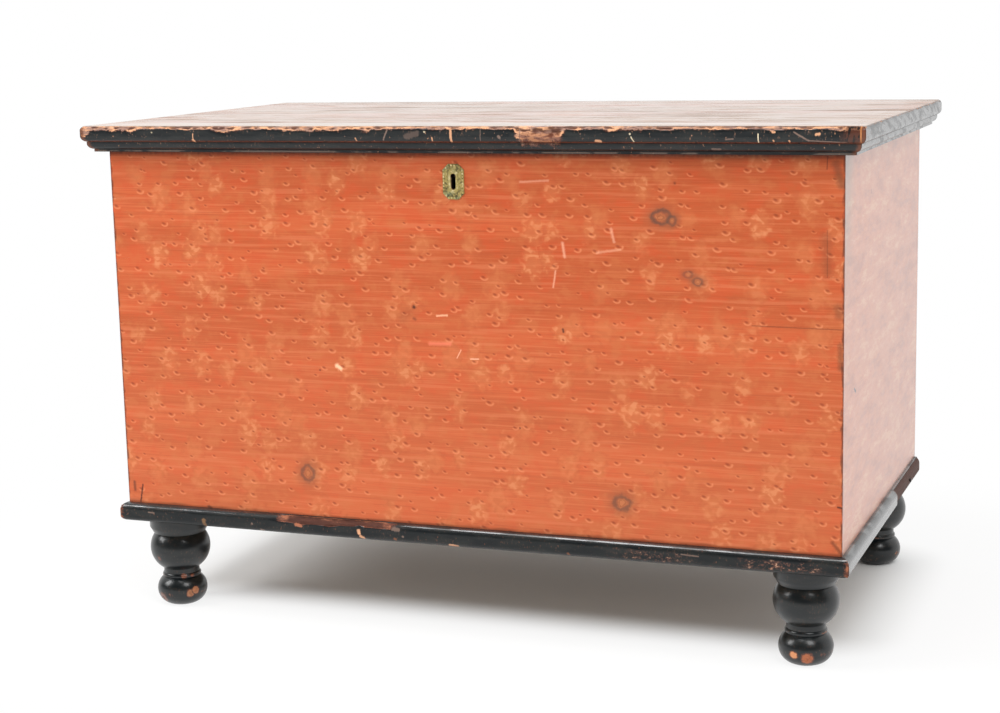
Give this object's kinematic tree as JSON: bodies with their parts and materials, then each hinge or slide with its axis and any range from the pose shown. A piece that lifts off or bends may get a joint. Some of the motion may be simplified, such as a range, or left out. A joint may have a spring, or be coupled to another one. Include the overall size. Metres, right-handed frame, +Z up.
{
  "type": "blanket chest",
  "caption": "Dovetailed pine blanket chest with a hinged moulded lid, an open till, a chest lock and turned feet.",
  "frame": {"origin": "on the floor, under the centre of the chest's outline, which the lid sets", "axes": "+Z up, +X along the chest's width to the right seen from the front, +Y from the front to the back"},
  "size_m": [1.057, 0.6008, 0.6813],
  "materials": {
    "grained_paint": "red-orange paint grained like bird's-eye maple over pine, worn, satin",
    "dark_paint": "green-black paint over pine, crackled and chipped, satin",
    "bare_pine": "bare aged pine, dull",
    "nail_iron": "dark rusty iron",
    "hinge_iron": "dark worn iron",
    "old_brass": "tarnished brass"
  },
  "bodies": {
    "case": {"front_board": "grained_paint", "back_board": "grained_paint", "left_end_board": "grained_paint", "right_end_board": "grained_paint", "bottom_front_plank": "bare_pine", "bottom_middle_plank": "bare_pine", "bottom_rear_plank": "bare_pine", "base_moulding_front": "dark_paint", "base_moulding_left": "dark_paint", "base_moulding_right": "dark_paint", "base_moulding_nails": "nail_iron", "bottom_nails": "nail_iron", "foot_front_left": "dark_paint", "foot_front_right": "dark_paint", "foot_rear_left": "dark_paint", "foot_rear_right": "dark_paint", "foot_wedges": "bare_pine", "till_side": "bare_pine", "till_bottom": "bare_pine", "left_hinge_case_leaf": "hinge_iron", "left_hinge_pin": "hinge_iron", "right_hinge_case_leaf": "hinge_iron", "right_hinge_pin": "hinge_iron", "hinge_case_screws": "hinge_iron", "lock_plate": "hinge_iron", "lock_cap": "hinge_iron", "lock_spring": "hinge_iron", "lock_rivets": "hinge_iron", "key_post": "hinge_iron", "lock_screws": "hinge_iron", "escutcheon": "old_brass", "escutcheon_pins": "old_brass"},
    "lid": {"lid_front_board": "grained_paint", "lid_rear_board": "grained_paint", "lid_moulding_front": "dark_paint", "lid_moulding_left": "dark_paint", "lid_moulding_right": "dark_paint", "lid_moulding_nails": "nail_iron", "left_hinge_lid_leaf": "hinge_iron", "right_hinge_lid_leaf": "hinge_iron", "hinge_lid_screws": "hinge_iron", "striker_plate": "hinge_iron", "striker_screws": "hinge_iron"},
    "bolt": {"lock_bolt": "hinge_iron"}
  },
  "joints": [
    {"name": "lid_hinge", "type": "hinge", "parent": "case", "child": "lid", "pos_m": [0, 0.2894, 0.65815], "axis": [-1, 0, 0], "range_deg": [0, 105]},
    {"name": "lock_bolt_slide", "type": "slide", "parent": "case", "child": "bolt", "axis": [1, 0, 0], "range_m": [0, 0.008]}
  ]
}
